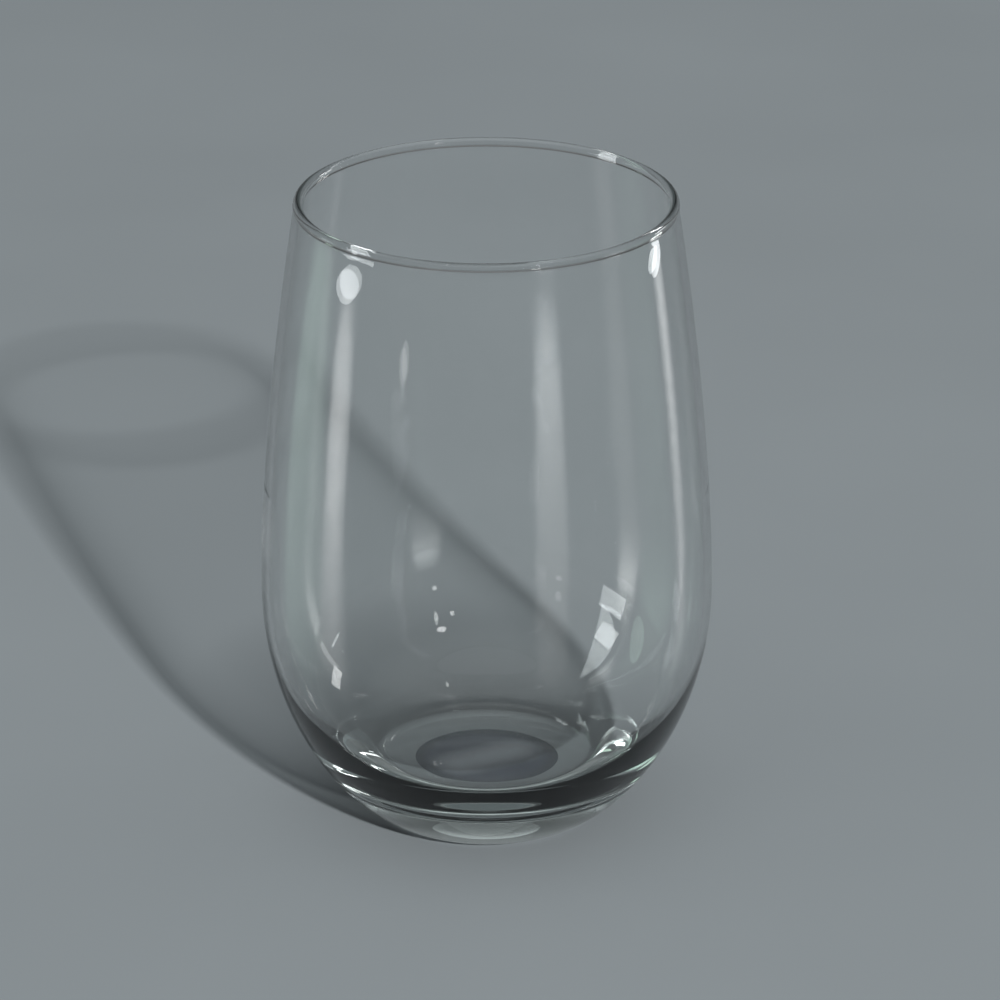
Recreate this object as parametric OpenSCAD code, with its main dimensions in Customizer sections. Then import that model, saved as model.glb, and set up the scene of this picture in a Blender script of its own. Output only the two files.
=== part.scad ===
// Stemless drinking glass: one continuous piece of clear glass turned about the Z axis.
// Millimetres, +Z up. The origin is the centre of the face that it stands on.

/* [Overall] */
// Height from the table to the top of the rim
height = 123.7; // [100:0.1:150]
// Outer diameter at the rim, across the bead
rim_d = 71.7; // [60:0.1:76]
// Outer diameter at the widest point
belly_d = 86.3; // [80:0.1:96]
// Height of the widest point above the table
belly_h = 45.5; // [40:0.1:56]
// Outer diameter of the ring that it stands on
foot_d = 41; // [32:0.5:46]

/* [Wall] */
// Thickness of the wall just under the rim bead
rim_wall = 1.4; // [0.9:0.05:2.5]
// Thickness of the wall at the widest point
belly_wall = 1.5; // [1:0.05:3]
// How far the rim bead stands proud of the wall on each side
bead_proud = 0.25; // [0.05:0.05:0.6]
// Radius of the hollow blend between the bead and the wall
bead_blend = 1.2; // [0.4:0.1:3]
// How late the wall leans in: 1 is a straight cone, 2 leans in mostly near the rim
wall_power = 1.65; // [1.2:0.05:2.2]

/* [Base] */
// Height of the edge of the bowl's floor above the table
base_t = 10.3; // [7:0.1:14]
// Diameter of the bowl's nearly level floor
floor_d = 39.8; // [32:0.2:44]
// How far the middle of that floor stands above its edge
floor_dome = 0.3; // [0.1:0.05:1.5]
// Angle at which the side of the bowl leaves the floor's edge, in degrees
floor_turn = 3; // [0:0.5:10]
// Width of the flat resting ring
foot_ring = 6.8; // [0.6:0.1:9]
// Height of the shallow hollow under the base, on the axis
punt_h = 0.45; // [0.2:0.05:2.5]

/* [Curves] */
// Share of the belly's height over which the outside drops before it turns in
side_share = 0.57; // [0.48:0.005:0.64]
// Share of the way from the foot out to the belly over which the heel runs low
heel_share = 0.325; // [0.25:0.005:0.45]
// Share of the belly's height that the heel climbs over that way
heel_rise_share = 0.045; // [0.02:0.005:0.12]
// Share of the bowl's depth over which the inside drops before it turns in
bowl_side_share = 0.54; // [0.4:0.005:0.62]
// Share of the way from the floor's edge out to the bowl's side over which the inside stays low
bowl_floor_share = 0.62; // [0.45:0.005:0.75]

/* [Hidden] */

// Straight steps along each long curve, each round of the rim, and around the axis
curve_steps = 36;
wall_steps = 24;
round_steps = 10;
bead_steps = 24;
turn_steps = 180;

belly_r = belly_d / 2;
foot_r = foot_d / 2;
punt_r = foot_r - foot_ring;
punt_sphere_r = cap_sphere(punt_r, punt_h);
floor_r = floor_d / 2;
floor_sphere_r = cap_sphere(floor_r, floor_dome);

// Radius of the sphere whose cap has this radius and height
function cap_sphere(r, h) = (r * r + h * h) / (2 * h);

// The bead is a circle on the wall's middle line, whose top is the rim
bead_r = rim_wall / 2 + bead_proud;
bead_centre = [rim_d / 2 - bead_r, height - bead_r];
belly_mid_r = belly_r - belly_wall / 2;
lean_run = belly_mid_r - bead_centre[0];
lean_rise = bead_centre[1] - belly_h;

// The blend touches the wall's face this far below the bead's centre, along the wall
blend_x = rim_wall / 2 + bead_blend;
blend_drop = sqrt(pow(bead_r + bead_blend, 2) - pow(blend_x, 2));
blend_angle = atan2(blend_drop, blend_x);
wall_end_share = 1 - blend_drop * cos(lean(1)) / lean_rise;

function bezier(p, t) =
    pow(1 - t, 3) * p[0] + 3 * pow(1 - t, 2) * t * p[1] + 3 * (1 - t) * pow(t, 2) * p[2] + pow(t, 3) * p[3];

function curve(p, steps) = [for (i = [0 : steps]) bezier(p, i / steps)];

function arc(centre, r, from, to, steps) =
    [for (i = [0 : steps]) let (a = from + (to - from) * i / steps) centre + r * [cos(a), sin(a)]];

function reversed(list) = [for (i = [len(list) - 1 : -1 : 0]) list[i]];

// The wall's middle line, from the belly at s = 0 to the bead's centre at s = 1, and its lean from upright
function wall_mid(s) = [belly_mid_r - lean_run * pow(s, wall_power), belly_h + lean_rise * s];
function lean(s) = atan(lean_run * wall_power * pow(s, wall_power - 1) / lean_rise);

// A point on the wall's face, half a thickness from the middle line: side is 1 outside and -1 inside
function wall_half(s) = (belly_wall + (rim_wall - belly_wall) * s / wall_end_share) / 2;
function wall_face(s, side) = wall_mid(s) + side * wall_half(s) * [cos(lean(s)), sin(lean(s))];
function wall(side) = [for (i = [0 : wall_steps]) wall_face(wall_end_share * i / wall_steps, side)];

// From across and along the wall at the bead to radius and height
function at_rim(p) =
    bead_centre + p[0] * [cos(lean(1)), sin(lean(1))] + p[1] * [-sin(lean(1)), cos(lean(1))];

outside_low = curve([
    [belly_r, belly_h],
    [belly_r, belly_h * (1 - side_share)],
    [foot_r + (belly_r - foot_r) * heel_share, belly_h * heel_rise_share],
    [foot_r, 0]
], curve_steps);

bowl_r = belly_r - belly_wall;
floor_edge = [floor_r, base_t];
bowl_side = curve([
    floor_edge,
    floor_edge + (bowl_r - floor_r) * bowl_floor_share * [cos(floor_turn), sin(floor_turn)],
    [bowl_r, belly_h - (belly_h - base_t) * bowl_side_share],
    [bowl_r, belly_h]
], curve_steps);

// The bowl's floor and the hollow under the foot are caps of spheres
bowl_floor = arc([0, base_t + floor_dome - floor_sphere_r], floor_sphere_r,
    90, 90 - asin(floor_r / floor_sphere_r), round_steps);
punt = arc([0, punt_h - punt_sphere_r], punt_sphere_r, 90 - asin(punt_r / punt_sphere_r), 90, round_steps);

inner_blend = arc([-blend_x, -blend_drop], bead_blend, 0, blend_angle, round_steps);
bead = arc([0, 0], bead_r, 180 + blend_angle, -blend_angle, bead_steps);
outer_blend = arc([blend_x, -blend_drop], bead_blend, 180 - blend_angle, 180, round_steps);
rim = [for (p = concat(inner_blend, bead, outer_blend)) at_rim(p)];

// Half section: up the inside from the axis, over the rim, down the outside and under the base
section = concat(bowl_floor, bowl_side, wall(-1), rim, reversed(wall(1)), outside_low, punt);

// One point where two stretches of the outline meet
function distinct(list) =
    [for (i = [0 : len(list) - 1]) if (i == 0 || norm(list[i] - list[i - 1]) > height / 100000) list[i]];

module tumbler() {
    color([0.78, 0.86, 0.86, 0.5])
        rotate_extrude($fn = turn_steps)
            polygon(distinct(section));
}

tumbler();
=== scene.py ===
"""Stemless drinking glass: the visual model, its studio and its camera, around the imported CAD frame."""

import math

import bmesh
import bpy
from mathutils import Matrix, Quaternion, Vector


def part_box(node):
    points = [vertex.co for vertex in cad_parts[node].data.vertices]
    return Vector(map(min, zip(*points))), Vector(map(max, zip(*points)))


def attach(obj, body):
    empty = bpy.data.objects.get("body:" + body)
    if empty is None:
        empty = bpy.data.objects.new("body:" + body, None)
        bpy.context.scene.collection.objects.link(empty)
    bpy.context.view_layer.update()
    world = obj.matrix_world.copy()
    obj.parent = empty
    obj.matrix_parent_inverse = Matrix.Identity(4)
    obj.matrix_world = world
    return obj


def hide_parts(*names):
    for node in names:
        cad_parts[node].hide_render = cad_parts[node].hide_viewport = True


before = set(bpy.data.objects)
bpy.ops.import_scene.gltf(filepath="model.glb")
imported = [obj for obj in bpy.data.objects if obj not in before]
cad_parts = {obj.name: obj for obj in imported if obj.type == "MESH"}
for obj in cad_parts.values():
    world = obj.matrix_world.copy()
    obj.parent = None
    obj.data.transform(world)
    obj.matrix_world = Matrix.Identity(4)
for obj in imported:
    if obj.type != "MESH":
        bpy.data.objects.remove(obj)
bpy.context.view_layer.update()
scene = bpy.context.scene

# Sizes of the glass in millimetres, with an angle in degrees, a power and shares, as the CAD source has them
HEIGHT = 123.7
RIM_D = 71.7
BELLY_D = 86.3
BELLY_H = 45.5
FOOT_D = 41
RIM_WALL = 1.4
BELLY_WALL = 1.5
BEAD_PROUD = 0.25
BEAD_BLEND = 1.2
WALL_POWER = 1.65
BASE_T = 10.3
FLOOR_D = 39.8
FLOOR_DOME = 0.3
FLOOR_TURN = 3
FOOT_RING = 6.8
PUNT_H = 0.45
SIDE_SHARE = 0.57
HEEL_SHARE = 0.325
HEEL_RISE_SHARE = 0.045
BOWL_SIDE_SHARE = 0.54
BOWL_FLOOR_SHARE = 0.62

BELLY_R = BELLY_D / 2
FOOT_R = FOOT_D / 2
PUNT_R = FOOT_R - FOOT_RING
BEAD_R = RIM_WALL / 2 + BEAD_PROUD

# Rounds that the CAD source leaves to the visual model, in millimetres
EDGE_ROUND = 0.5  # both edges of the resting ring are fire-polished
FLOOR_BLEND = 1.5  # the bowl's floor runs softly into its side
MOST_OF_WAY = 0.9  # a round takes up no more than this share of the way to a neighbouring point

# The uneven wall, in millimetres. It wanders this far to each side of a surface this much nearer the axis
WAVE_IN = 0.035
WAVE_OUT = 0.012  # the outside follows the mould, so it wanders less
WAVE_PHASE_IN = 0.4
WAVE_PHASE_OUT = 2.2
WAVE_FROM = 14.0  # the height where it starts
WAVE_RISE = 22.0  # over this much height it comes to wander in full
WAVE_FALL = 60.0  # over this much height it comes to rest again
WAVE_END = 3.0  # this far below the top of the rim it is at rest

# Each wave has a size, a number round the axis, a share of the phase, and radians of turn from foot to rim
WAVES = [(0.45, 2, 1.0, 2.1), (0.3, 3, -1.7, 5.0), (0.25, 5, 2.3, -7.0)]

# Steps of the mesh
TURN_STEPS = 288
LOW_STEPS = 60
WALL_STEPS = 56
ROUND_STEPS = 8
BEAD_STEPS = 28
ON_AXIS = 1e-6  # a radius smaller than this is the axis itself

# The frame's own place and scale
box_lo, box_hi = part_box("tumbler")
SCALE = (box_hi.z - box_lo.z) / HEIGHT
CENTRE = Vector(((box_lo.x + box_hi.x) / 2, (box_lo.y + box_hi.y) / 2, box_lo.z))


def bezier(points, steps):
    """Points along a cubic curve, both ends included."""
    out = []
    for i in range(steps + 1):
        t = i / steps
        weights = ((1 - t) ** 3, 3 * (1 - t) ** 2 * t, 3 * (1 - t) * t * t, t ** 3)
        out.append(tuple(sum(w * p[axis] for w, p in zip(weights, points)) for axis in (0, 1)))
    return out


def arc(centre, radius, start, end, steps):
    """Points along an arc, with its angles in radians."""
    angles = [start + (end - start) * i / steps for i in range(steps + 1)]
    return [(centre[0] + radius * math.cos(a), centre[1] + radius * math.sin(a)) for a in angles]


def rounded(before, corner, after, radius, steps):
    """A round of about this radius in place of a corner between two neighbouring points."""
    before, corner, after = Vector(before), Vector(corner), Vector(after)
    back, ahead = (before - corner).normalized(), (after - corner).normalized()
    room = min((before - corner).length, (after - corner).length) * MOST_OF_WAY
    cut = min(radius / math.tan(back.angle(ahead) / 2), room)
    start, end = corner + back * cut, corner + ahead * cut
    out = []
    for i in range(steps + 1):
        t = i / steps
        point = start * (1 - t) ** 2 + corner * (2 * t * (1 - t)) + end * t * t
        out.append((point.x, point.y))
    return out


def cap_sphere(radius, height):
    """The radius of the sphere that has a cap of this radius and height."""
    return (radius ** 2 + height ** 2) / (2 * height)


def wall_and_rim():
    """The inside of the wall from the belly up, the bead over the top, and the outside down to the belly."""
    bead_centre = (RIM_D / 2 - BEAD_R, HEIGHT - BEAD_R)
    middle_r = BELLY_R - BELLY_WALL / 2
    run, rise = middle_r - bead_centre[0], bead_centre[1] - BELLY_H

    def lean(share):
        """How far the wall leans in, in radians, at a share of the way from the belly to the bead."""
        return math.atan(run * WALL_POWER * share ** (WALL_POWER - 1) / rise)

    # The two blends under the bead are arcs about points this far beside its centre and this far below it
    blend_x = RIM_WALL / 2 + BEAD_BLEND
    drop = math.sqrt((BEAD_R + BEAD_BLEND) ** 2 - blend_x ** 2)
    turn = math.atan2(drop, blend_x)
    end = 1 - drop * math.cos(lean(1)) / rise

    def face(side):
        """A face of the wall from the belly up to the blend: the outside for 1, the inside for -1."""
        out = []
        for i in range(WALL_STEPS + 1):
            share = end * i / WALL_STEPS
            half = (BELLY_WALL + (RIM_WALL - BELLY_WALL) * share / end) / 2
            out.append((middle_r - run * share ** WALL_POWER + side * half * math.cos(lean(share)),
                        BELLY_H + rise * share + side * half * math.sin(lean(share))))
        return out

    # The bead and its blends are drawn upright, and then lean as the wall does at the rim
    upright = (arc((-blend_x, -drop), BEAD_BLEND, 0, turn, ROUND_STEPS)
               + arc((0, 0), BEAD_R, math.pi + turn, -turn, BEAD_STEPS)[1:-1]
               + arc((blend_x, -drop), BEAD_BLEND, math.pi - turn, math.pi, ROUND_STEPS))
    c, s = math.cos(lean(1)), math.sin(lean(1))
    rim = [(bead_centre[0] + x * c - y * s, bead_centre[1] + x * s + y * c) for x, y in upright]
    return face(-1)[1:-1], rim, face(1)[-2:0:-1]


def bowl():
    """The inside from the axis over the domed floor and up to the belly."""
    bowl_r, floor_r = BELLY_R - BELLY_WALL, FLOOR_D / 2
    sphere = cap_sphere(floor_r, FLOOR_DOME)
    dome = arc((0, BASE_T + FLOOR_DOME - sphere), sphere, math.pi / 2,
               math.pi / 2 - math.asin(floor_r / sphere), ROUND_STEPS * 2)
    reach = (bowl_r - floor_r) * BOWL_FLOOR_SHARE
    turn_up = math.radians(FLOOR_TURN)
    side = bezier([
        (floor_r, BASE_T), (floor_r + reach * math.cos(turn_up), BASE_T + reach * math.sin(turn_up)),
        (bowl_r, BELLY_H - (BELLY_H - BASE_T) * BOWL_SIDE_SHARE), (bowl_r, BELLY_H)], LOW_STEPS)
    return dome[:-1] + rounded(dome[-2], dome[-1], side[1], FLOOR_BLEND, ROUND_STEPS) + side[1:]


def side_and_foot():
    """The outside from the belly down, and the underside: the resting ring and the hollow up to the axis."""
    side = bezier([
        (BELLY_R, BELLY_H), (BELLY_R, BELLY_H * (1 - SIDE_SHARE)),
        (FOOT_R + (BELLY_R - FOOT_R) * HEEL_SHARE, BELLY_H * HEEL_RISE_SHARE), (FOOT_R, 0)], LOW_STEPS)
    sphere = cap_sphere(PUNT_R, PUNT_H)
    punt = arc((0, PUNT_H - sphere), sphere, math.pi / 2 - math.asin(PUNT_R / sphere), math.pi / 2,
               ROUND_STEPS * 2)
    outer_edge = rounded(side[-2], side[-1], (PUNT_R, 0), EDGE_ROUND, ROUND_STEPS)
    inner_edge = rounded((FOOT_R, 0), (PUNT_R, 0), punt[1], EDGE_ROUND, ROUND_STEPS)
    return side[:-1], outer_edge + inner_edge + punt[2:]


def section():
    """Half section from the middle of the bowl's floor over the rim to the middle of the foot. Each zone has
    a list of (radius, height) in millimetres, how far it wanders, and its phase."""
    inner_wall, rim, outer_wall = wall_and_rim()
    side, underside = side_and_foot()
    return [
        (bowl() + inner_wall, WAVE_IN, WAVE_PHASE_IN),
        (rim, 0, 0),
        (outer_wall + side, WAVE_OUT, WAVE_PHASE_OUT),
        (underside, 0, 0)]


def wander(angle, z, phase):
    """A smooth unevenness between about -1 and 1, whole round the axis and slow along it."""
    h = z / HEIGHT
    return sum(size * math.sin(number * angle + share * phase + twist * h)
               for size, number, share, twist in WAVES)


def wave_window(z):
    """Full on the wall, fading out at the rim bead and in the base."""
    rise = min(max((z - WAVE_FROM) / WAVE_RISE, 0), 1)
    fall = min(max((HEIGHT - WAVE_END - z) / WAVE_FALL, 0), 1)
    return rise * rise * (3 - 2 * rise) * fall * fall * (3 - 2 * fall)


def ring(bm, radius, z, amount, phase):
    """The points of the mesh at one place of the section, or the single one on the axis."""
    if radius < ON_AXIS:
        return [bm.verts.new(CENTRE + Vector((0, 0, z)) * SCALE)]
    out = []
    for k in range(TURN_STEPS):
        angle = 2 * math.pi * k / TURN_STEPS
        r = radius + amount * wave_window(z) * (wander(angle, z, phase) - 1)
        out.append(bm.verts.new(CENTRE + Vector((r * math.cos(angle), r * math.sin(angle), z)) * SCALE))
    return out


def lathe(name, zones):
    """Turns the section about the axis into one closed mesh of quads, with a fan at each pole."""
    bm = bmesh.new()
    rings = [ring(bm, radius, z, amount, phase) for points, amount, phase in zones for radius, z in points]
    for a, b in zip(rings, rings[1:]):
        for k in range(TURN_STEPS):
            after = (k + 1) % TURN_STEPS
            if len(a) == 1:
                bm.faces.new((a[0], b[k], b[after]))
            elif len(b) == 1:
                bm.faces.new((a[k], b[0], a[after]))
            else:
                bm.faces.new((a[k], b[k], b[after], a[after]))
    bmesh.ops.recalc_face_normals(bm, faces=bm.faces)
    mesh = bpy.data.meshes.new(name)
    bm.to_mesh(mesh)
    bm.free()
    mesh.polygons.foreach_set("use_smooth", [True] * len(mesh.polygons))
    mesh.update()
    piece = bpy.data.objects.new(name, mesh)
    scene.collection.objects.link(piece)
    return piece


def new_material(name):
    """A material with an empty node tree and its output."""
    material = bpy.data.materials.new(name)
    material.use_nodes = True
    tree = material.node_tree
    tree.nodes.clear()
    return material, tree, tree.nodes.new("ShaderNodeOutputMaterial")


def add(tree, kind, links=(), **values):
    """A node with links as (socket, output), and values by name. Names of sockets start with a capital."""
    node = tree.nodes.new(kind)
    for key, value in values.items():
        if key[0].isupper():
            node.inputs[key.replace("_", " ")].default_value = value
        else:
            setattr(node, key, value)
    for socket, output in links:
        tree.links.new(output, node.inputs[socket])
    return node


def maths(tree, operation, *terms, kind="ShaderNodeMath", result=0):
    """The result of an operation. Each term is fixed, or another node's output."""
    node = add(tree, kind, operation=operation)
    for socket, term in zip(node.inputs, terms):
        if isinstance(term, (int, float, tuple)):
            socket.default_value = term
        else:
            tree.links.new(term, socket)
    return node.outputs[result]


def vector_maths(tree, operation, *terms, result="Vector"):
    """The result of an operation on vectors or colours."""
    return maths(tree, operation, *terms, kind="ShaderNodeVectorMath", result=result)


def fade(tree, value, start, end, at_start, at_end, how="LINEAR"):
    """Goes from at_start to at_end while the value goes from start to end, and stays there beyond."""
    node = add(tree, "ShaderNodeMapRange", [("Value", value)], interpolation_type=how,
               From_Min=start, From_Max=end, To_Min=at_start, To_Max=at_end)
    return node.outputs["Result"]


def ramp(tree, factor, stops):
    """A colour ramp with (place, grey or colour) stops."""
    node = tree.nodes.new("ShaderNodeValToRGB")
    elements = node.color_ramp.elements
    while len(elements) < len(stops):
        elements.new(0.5)  # its own place comes next
    for element, (place, colour) in zip(elements, stops):
        element.position = place
        element.color = (*colour, 1) if isinstance(colour, tuple) else (colour, colour, colour, 1)
    tree.links.new(factor, node.inputs["Fac"])
    return node.outputs["Color"]


def mix_colour(tree, factor, a, b):
    """Colour a where the factor is 0 and b where it is 1. Each is fixed, or another node's output."""
    node = tree.nodes.new("ShaderNodeMix")
    node.data_type = "RGBA"
    tree.links.new(factor, node.inputs["Factor"])
    for socket, colour in zip([i for i in node.inputs if i.type == "RGBA"], (a, b)):
        if isinstance(colour, tuple):
            socket.default_value = (*colour, 1)
        else:
            tree.links.new(colour, socket)
    return [o for o in node.outputs if o.type == "RGBA"][0]


def mix_shaders(tree, factor, a, b):
    """Shader a where the factor is 0 and b where it is 1."""
    return add(tree, "ShaderNodeMixShader", [(0, factor), (1, a), (2, b)]).outputs["Shader"]


def at_height(mm):
    """Where in the frame a height of the glass is."""
    return CENTRE.z + mm * SCALE


# The glass in itself
GLASS_IOR = 1.52
GLASS_TINT = (0.62, 0.80, 0.75)
GLASS_DENSITY = 7.0  # per metre, so a wall is clear and the thick base shows a trace of green-grey

# Its surface: a slow swell, stretched along the axis as drawn glass is, and a ripple on it
DRAWN_OUT = (1.0, 1.0, 0.35)
SWELL = {"Scale": 38.0, "Detail": 1.0, "Roughness": 0.4}
SWELL_BUMP = {"Strength": 0.06, "Distance": 0.0012}
RIPPLE = {"Scale": 160.0, "Detail": 2.0, "Roughness": 0.5}
RIPPLE_BUMP = {"Strength": 0.004, "Distance": 0.0004}

# A handling film that hardly shows
FILM = {"Scale": 55.0, "Detail": 5.0, "Roughness": 0.6}
FILM_PATCHES = [(0.55, 0.0), (0.8, 1.0)]
FILM_COLOURS = [(0.3, (0.995, 1.0, 0.998)), (0.75, (0.975, 0.985, 0.982))]
FILM_ROUGH = 0.006

# The resting face is duller. This wears off between two heights above it, in metres
FOOT_ROUGH = 0.03
FOOT_ROUGH_FROM = 0.0001
FOOT_ROUGH_TO = 0.0018

# Painted shade on the face of the hollow under the foot: its colour, and the millimetres above it that still
# count
PUNT_PAINTED_SHADE = (0.062, 0.066, 0.10)
PUNT_ABOVE = 0.3

# The painted shade grows darker towards the rim of that face, setting in between two shares of its radius
PUNT_RIM_PAINTED_SHADE = (0.04, 0.045, 0.055)
PUNT_RIM_FROM = 0.80
PUNT_RIM_TO = 0.98

# A softer, lighter painted highlight streak across it: direction in degrees, half width, and the shares where
# it fades out
PUNT_PAINTED_HIGHLIGHT = (0.97, 0.92, 1.0)
PUNT_STREAK_TURN = 32.0
PUNT_STREAK_W = 7.5
PUNT_STREAK_FROM = 0.5
PUNT_STREAK_TO = 0.95

# The share of a lamp's light that goes on through a surface, by how steeply it meets it (0 is head on)
SHADE_BY_ANGLE = [(0.0, 0.96), (0.34, 0.945), (0.56, 0.87), (0.69, 0.77), (0.8, 0.6), (0.93, 0.3), (1.0, 0.0)]

# The same by height above the foot, in parts of this many metres
SHADE_BY_HEIGHT = [(0.0, 0.42), (0.3, 0.68), (0.8, 1.0)]
SHADE_HEIGHT = 0.04

# The same at the bead, setting in between two depths in millimetres below the top of the rim
BEAD_SHADE = 0.62
BEAD_SHADE_FROM = 3.4
BEAD_SHADE_TO = 2.4

PUNT_GATHERS = 0.3  # the foot passes all of the light, and the hollow this much more, gathered by the base
TRAPPED_DEPTH = 1.5  # light that has been mirrored more often than this is trapped


def surface_normal(tree, coord):
    """The direction of the surface, with its swell and ripple."""
    stretched = add(tree, "ShaderNodeMapping", [("Vector", coord)], Scale=DRAWN_OUT).outputs["Vector"]
    swell = add(tree, "ShaderNodeTexNoise", [("Vector", stretched)], **SWELL).outputs["Fac"]
    ripple = add(tree, "ShaderNodeTexNoise", [("Vector", coord)], **RIPPLE).outputs["Fac"]
    swelling = add(tree, "ShaderNodeBump", [("Height", swell)], **SWELL_BUMP).outputs["Normal"]
    rippling = add(tree, "ShaderNodeBump", [("Height", ripple), ("Normal", swelling)], **RIPPLE_BUMP)
    return rippling.outputs["Normal"]


def punt_painted_shade_and_highlight(tree, coord, across):
    """The colour of the face of the hollow: painted shade, darker at its rim, with a painted highlight streak
    across it. Across is the distance from the axis.
    """
    punt_r = PUNT_R * SCALE
    turn = math.radians(PUNT_STREAK_TURN)
    side = (-math.sin(turn), math.cos(turn), 0)
    offset = maths(tree, "ABSOLUTE", vector_maths(tree, "DOT_PRODUCT", coord, side, result="Value"))
    near_line = fade(tree, offset, 0.0, PUNT_STREAK_W * SCALE, 1.0, 0.0, "SMOOTHSTEP")
    inner = fade(tree, across, punt_r * PUNT_STREAK_FROM, punt_r * PUNT_STREAK_TO, 1.0, 0.0, "SMOOTHSTEP")
    at_rim = fade(tree, across, punt_r * PUNT_RIM_FROM, punt_r * PUNT_RIM_TO, 0.0, 1.0, "SMOOTHSTEP")
    # Painted highlight streak over the painted shade, then the darker painted shade at the rim
    shade_with_highlight = mix_colour(tree, maths(tree, "MULTIPLY", near_line, inner), PUNT_PAINTED_SHADE, PUNT_PAINTED_HIGHLIGHT)
    return mix_colour(tree, at_rim, shade_with_highlight, PUNT_RIM_PAINTED_SHADE)


def light_passed(tree, z, at_foot, at_punt):
    """The share of a lamp's light that goes on: nearly all through a thin wall, and less at steep angles, in
    the thick base and at the bead."""
    facing = add(tree, "ShaderNodeLayerWeight", Blend=0.5).outputs["Facing"]
    wall = ramp(tree, facing, SHADE_BY_ANGLE)
    height = fade(tree, z, CENTRE.z, CENTRE.z + SHADE_HEIGHT, 0.0, 1.0)
    foot = maths(tree, "MULTIPLY_ADD", at_punt, PUNT_GATHERS, at_foot)
    base = vector_maths(tree, "MAXIMUM", ramp(tree, height, SHADE_BY_HEIGHT), foot)
    bead_from, bead_to = at_height(HEIGHT - BEAD_SHADE_FROM), at_height(HEIGHT - BEAD_SHADE_TO)
    bead = fade(tree, z, bead_from, bead_to, 1.0, BEAD_SHADE)
    return vector_maths(tree, "MULTIPLY", wall, vector_maths(tree, "MULTIPLY", base, bead))


def glass_material():
    """Clear soda-lime glass: drawn-out unevenness, a trace of green in depth, a duller resting face, and
    painted shade with a painted highlight on the hollow under the foot.
    """
    material, tree, out = new_material("clear_glass")
    coord = add(tree, "ShaderNodeTexCoord").outputs["Object"]
    z = add(tree, "ShaderNodeSeparateXYZ", [("Vector", coord)]).outputs["Z"]
    level = vector_maths(tree, "MULTIPLY", coord, (1, 1, 0))
    across = vector_maths(tree, "LENGTH", level, result="Value")

    film = add(tree, "ShaderNodeTexNoise", [("Vector", coord)], **FILM).outputs["Fac"]
    film_rough = maths(tree, "MULTIPLY", ramp(tree, film, FILM_PATCHES), FILM_ROUGH)
    dull_part = fade(tree, z, CENTRE.z + FOOT_ROUGH_FROM, CENTRE.z + FOOT_ROUGH_TO, 1.0, 0.0)
    rough = maths(tree, "MULTIPLY_ADD", dull_part, FOOT_ROUGH, film_rough)

    near_axis = maths(tree, "LESS_THAN", across, (PUNT_R + EDGE_ROUND) * SCALE)
    at_foot = maths(tree, "LESS_THAN", z, at_height(PUNT_H + PUNT_ABOVE))
    at_punt = maths(tree, "MULTIPLY", near_axis, at_foot)
    # The hollow under the foot is coloured with painted shade and a painted highlight streak
    colour = mix_colour(tree, at_punt, ramp(tree, film, FILM_COLOURS), punt_painted_shade_and_highlight(tree, coord, across))

    shader = add(tree, "ShaderNodeBsdfPrincipled",
                 [("Base Color", colour), ("Roughness", rough), ("Normal", surface_normal(tree, coord))])
    shader.inputs["IOR"].default_value = GLASS_IOR
    shader.inputs["Transmission Weight"].default_value = 1.0
    passed = light_passed(tree, z, at_foot, at_punt)
    straight_on = add(tree, "ShaderNodeBsdfTransparent", [("Color", passed)])
    depth = add(tree, "ShaderNodeVolumeAbsorption", Color=(*GLASS_TINT, 1), Density=GLASS_DENSITY)

    # Light reaches the table straight on only, so none of it is counted twice
    path = add(tree, "ShaderNodeLightPath").outputs
    to_light = maths(tree, "MAXIMUM", path["Is Shadow Ray"], path["Is Diffuse Ray"])
    # Light that a perfectly round rim would trap for good leaks out of it, as it does from real glass
    deep = maths(tree, "GREATER_THAN", path["Glossy Depth"], TRAPPED_DEPTH)
    above_belly = maths(tree, "GREATER_THAN", z, at_height(BELLY_H))
    trapped = maths(tree, "MULTIPLY", deep, above_belly)
    through = maths(tree, "MAXIMUM", to_light, trapped)
    surface = mix_shaders(tree, through, shader.outputs["BSDF"], straight_on.outputs["BSDF"])
    tree.links.new(surface, out.inputs["Surface"])
    tree.links.new(depth.outputs["Volume"], out.inputs["Volume"])
    return material


TABLE_COLOUR = (0.214, 0.236, 0.247)
TABLE_ROUGH = 0.22
TABLE_SPECULAR = 0.5
ONCE_MIRRORED = 0.5  # light that has been mirrored more often than this came by way of the glass

# The faint clouds of the table: their pattern, where it is darkest and palest, and its colour's shares there
CLOUD = {"Scale": 6.0, "Detail": 3.0, "Roughness": 0.5}
CLOUD_DARKEST = 0.35
CLOUD_PALEST = 0.65
DARKER = 0.97
PALER = 1.03


def table_material():
    """A plain pale table top. Its soft gloss shows only in the glass that mirrors it, so that the table seen
    directly is plain from every side."""
    material, tree, out = new_material("table_top")
    coord = add(tree, "ShaderNodeTexCoord").outputs["Object"]
    cloud = add(tree, "ShaderNodeTexNoise", [("Vector", coord)], **CLOUD).outputs["Fac"]
    dark, pale = [tuple(v * share for v in TABLE_COLOUR) for share in (DARKER, PALER)]
    colour = ramp(tree, cloud, [(CLOUD_DARKEST, dark), (CLOUD_PALEST, pale)])
    dull = add(tree, "ShaderNodeBsdfDiffuse", [("Color", colour)])
    glossy = add(tree, "ShaderNodeBsdfPrincipled", [("Base Color", colour)])
    glossy.inputs["Roughness"].default_value = TABLE_ROUGH
    glossy.inputs["Specular IOR Level"].default_value = TABLE_SPECULAR
    depth = add(tree, "ShaderNodeLightPath").outputs["Glossy Depth"]
    mirrored = maths(tree, "GREATER_THAN", depth, ONCE_MIRRORED)
    surface = mix_shaders(tree, mirrored, dull.outputs["BSDF"], glossy.outputs["BSDF"])
    tree.links.new(surface, out.inputs["Surface"])
    return material


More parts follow.
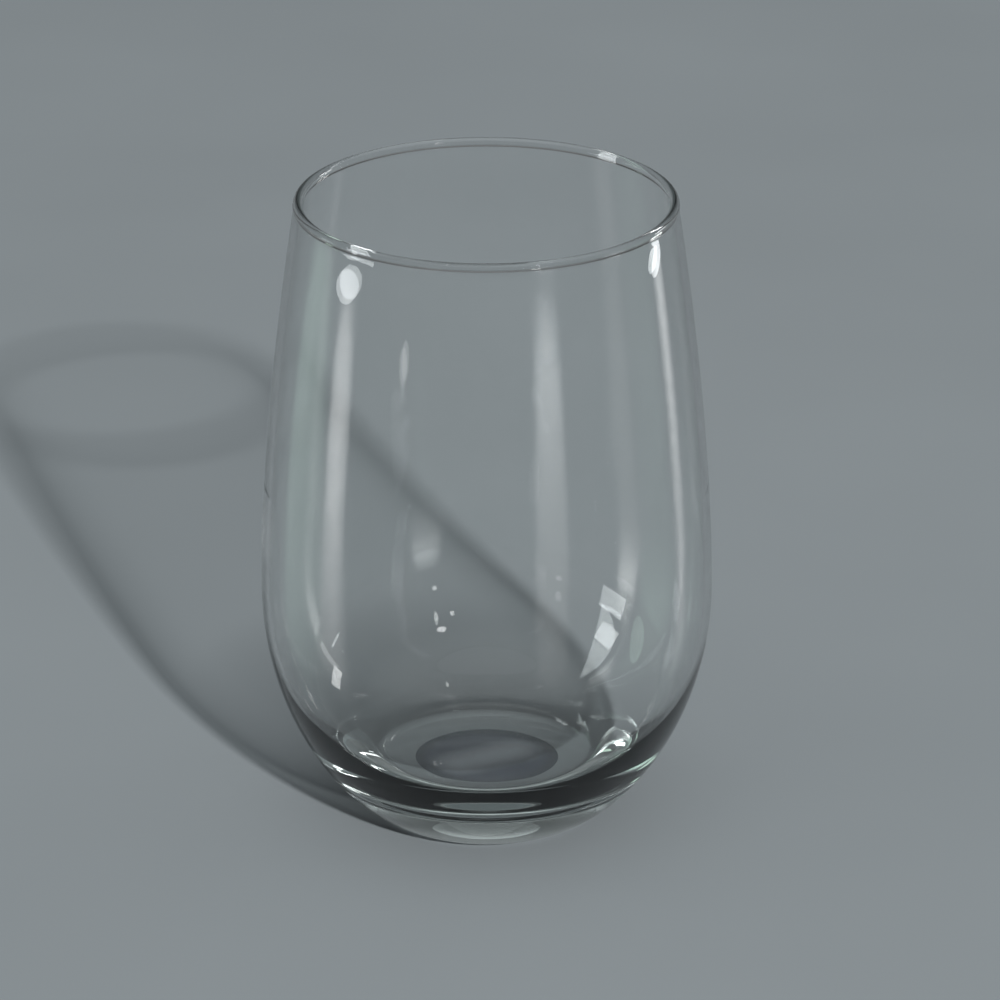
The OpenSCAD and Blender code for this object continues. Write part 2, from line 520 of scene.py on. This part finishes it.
# Radiance of the room by elevation: the sine of the elevation, then a grey
ROOM = [(0.0, 0.20), (0.12, 0.17), (0.22, 0.07), (0.30, 0.045), (0.60, 0.05), (0.80, 0.6), (1.0, 1.0)]
ROOM_TINT = (0.955, 1.0, 1.02)


def make_world():
    """A dim room under a wide bright ceiling: the soft part of the light."""
    world = bpy.data.worlds.new("room")
    scene.world = world
    world.use_nodes = True
    tree = world.node_tree
    tree.nodes.clear()
    out = tree.nodes.new("ShaderNodeOutputWorld")
    direction = add(tree, "ShaderNodeTexCoord").outputs["Generated"]
    z = add(tree, "ShaderNodeSeparateXYZ", [("Vector", direction)]).outputs["Z"]
    brightest, strongest = max(grey for _, grey in ROOM), max(ROOM_TINT)
    stops = [(place, tuple(grey / brightest * c / strongest for c in ROOM_TINT)) for place, grey in ROOM]
    strength = brightest * strongest
    back = add(tree, "ShaderNodeBackground", [("Color", ramp(tree, z, stops))], Strength=strength)
    tree.links.new(back.outputs["Background"], out.inputs["Surface"])


AIM = Vector((0, 0, 0.06))

WHITE = (1, 1, 1)
COOL = (0.94, 0.98, 1.0)
COOLER = (0.92, 0.97, 1.0)
GREEN = (0.76, 1.0, 0.84)
DEEP_GREEN = (0.72, 1.0, 0.85)

KEY_AZIMUTH = 22.0
KEY_ELEVATION = 28.7
KEY_FAR = 8.0  # far away, so that the table is lit evenly
KEY_WIDE = 0.33
KEY_WATTS = 960.0


def around(azimuth, elevation, distance, start=AIM):
    """A place seen from start, by azimuth (0 is the camera's side, 90 the right) and elevation in degrees."""
    a, e = math.radians(azimuth), math.radians(elevation)
    way = Vector((math.cos(e) * math.sin(a), -math.cos(e) * math.cos(a), math.sin(e)))
    return Vector(start) + distance * way


def soft_lamp(name, place, size, watts, colour=WHITE, aim=AIM, shape="RECTANGLE", only=None):
    """A soft lamp that faces a point. With only, it lights nothing but that object."""
    data = bpy.data.lights.new(name, "AREA")
    data.shape = shape
    data.size, data.size_y = size
    data.energy = watts
    data.color = colour
    lamp = bpy.data.objects.new(name, data)
    scene.collection.objects.link(lamp)
    lamp.location = place
    lamp.rotation_euler = (Vector(aim) - Vector(place)).to_track_quat("-Z", "Y").to_euler()
    if only is not None:
        lit = bpy.data.collections.new(name + "_lights")
        lit.objects.link(only)
        lamp.light_linking.receiver_collection = lit
    return lamp


def panel(name, only, toward, look, radiance, colour=WHITE, start=AIM, shape="RECTANGLE", roll=0):
    """A lamp that shows as a mirror image in one object only. Toward is its azimuth, elevation and distance
    from start, look is its width and height as angles in degrees, and radiance is how bright its face is."""
    size = [2 * toward[2] * math.tan(math.radians(angle) / 2) for angle in look]
    area = size[0] * size[1] * (math.pi / 4 if shape == "ELLIPSE" else 1)
    watts = radiance * math.pi * area
    lamp = soft_lamp(name, around(*toward, start), size, watts, colour, start, shape, only)
    rolled = lamp.rotation_euler.to_quaternion() @ Quaternion((0, 0, 1), math.radians(roll))
    lamp.rotation_euler = rolled.to_euler()
    lamp.visible_diffuse = False


def make_lamps(glass, table):
    """A key at the front right for the shadow. Panels near and far draw the glass by their mirror images, in
    it and in the gloss of the table, which it mirrors in turn."""
    place = around(KEY_AZIMUTH, KEY_ELEVATION, KEY_FAR)
    key = soft_lamp("key", place, (KEY_WIDE, KEY_WIDE), KEY_WATTS)
    key.visible_glossy = False  # its spark comes from a lamp of its own

    # Mirrored by the glass itself
    panel("spark", glass, (32.6, 38.0, 1.1), (5.4, 4.4), 10.0, shape="ELLIPSE")
    panel("spark_low", glass, (30.4, 11.3, 1.1), (2.6, 2.6), 8.0, shape="ELLIPSE")
    panel("left_low", glass, (-77, 3.6, 1.0), (17, 10.2), 5.5, COOL)
    panel("left_high", glass, (-82, 20, 1.0), (13.5, 11.5), 6.5, COOL)
    panel("left_window", glass, (-103, 9, 1.2), (11, 22), 1.4, GREEN, shape="ELLIPSE", roll=38)
    panel("right_low", glass, (122, 16.5, 1.0), (12, 7), 7.0)
    panel("right_line", glass, (115.5, 8, 1.0), (3.5, 17), 2.2)

    # Close to the wall under the rim, for the small bright blobs there
    panel("left_near", glass, (-85, -8.35, 0.27), (18, 2.5), 4.4, COOL,
          start=(-0.030, -0.025, 0.1165), shape="ELLIPSE", roll=6.2)
    panel("right_near", glass, (113, -11.6, 0.25), (12, 1.6), 5.0, COOL,
          start=(0.032, -0.012, 0.120), shape="ELLIPSE")
    panel("front_left", glass, (-45, -7.0, 0.30), (4.6, 3.0), 1.6,
          start=(-0.016, -0.033, 0.101), shape="ELLIPSE")

    # Mirrored by the gloss of the table, so that the wall shows them as long soft streaks
    panel("table_left", table, (-84, 17, 1.0), (15, 24), 5.0, shape="ELLIPSE")
    panel("table_left_low", table, (-83, 5, 1.0), (14, 12), 7.0, shape="ELLIPSE")
    panel("table_left_green", table, (-107, 14, 1.1), (32, 28), 2.0, DEEP_GREEN, shape="ELLIPSE")
    panel("table_right", table, (115, 18, 1.0), (6, 16), 3.6)
    panel("table_right_low", table, (114, 4.5, 1.0), (7, 11), 5.5)
    panel("table_front", table, (33, 12.5, 2.4), (17, 22), 3.4, shape="ELLIPSE")
    panel("table_front_low", table, (33, 4.5, 2.4), (16, 5), 4.0, COOLER, shape="ELLIPSE")


TABLE_HALF = 4.0
TABLE_SQUARES = 8
TABLE_GAP = 0.00002  # below the foot


def make_table(material):
    """A wide table top under the glass, just clear of its foot."""
    bm = bmesh.new()
    bmesh.ops.create_grid(bm, x_segments=TABLE_SQUARES, y_segments=TABLE_SQUARES, size=TABLE_HALF)
    mesh = bpy.data.meshes.new("table_top")
    bm.to_mesh(mesh)
    bm.free()
    floor = bpy.data.objects.new("table_top", mesh)
    scene.collection.objects.link(floor)
    floor.location.z = box_lo.z - TABLE_GAP
    mesh.materials.append(material)
    return floor


# The camera's distance from a point on the axis, and the height of that point, in metres
CAMERA_FAR = 0.85684
CAMERA_POINT_Z = 0.061714

# How high it stands as seen from there, and how far it looks down and to the right, in degrees
CAMERA_ELEVATION = 23.41
CAMERA_TILT = 23.34
CAMERA_TURN = 0.186

CAMERA_LENS = 162
CAMERA_SENSOR = 36
CAMERA_CLIP = 0.01


def make_camera():
    """The photograph's view: a long lens, 23 degrees above the table."""
    data = bpy.data.cameras.new("camera")
    data.sensor_width = CAMERA_SENSOR
    data.lens = CAMERA_LENS
    data.clip_start = CAMERA_CLIP
    camera = bpy.data.objects.new("camera", data)
    scene.collection.objects.link(camera)
    elevation = math.radians(CAMERA_ELEVATION)
    level, above = CAMERA_FAR * math.cos(elevation), CAMERA_FAR * math.sin(elevation)
    camera.location = (0, -level, CAMERA_POINT_Z + above)
    tilt, turn = math.radians(CAMERA_TILT), math.radians(CAMERA_TURN)
    ahead = Vector((math.sin(turn) * math.cos(tilt), math.cos(turn) * math.cos(tilt), -math.sin(tilt)))
    camera.rotation_euler = ahead.to_track_quat("-Z", "Y").to_euler()
    scene.camera = camera


tumbler = lathe("drinking_glass", section())
tumbler.data.materials.append(glass_material())
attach(tumbler, "root")
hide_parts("tumbler")

table_top = make_table(table_material())
make_world()
make_lamps(tumbler, table_top)
make_camera()

scene.view_settings.view_transform = "Standard"
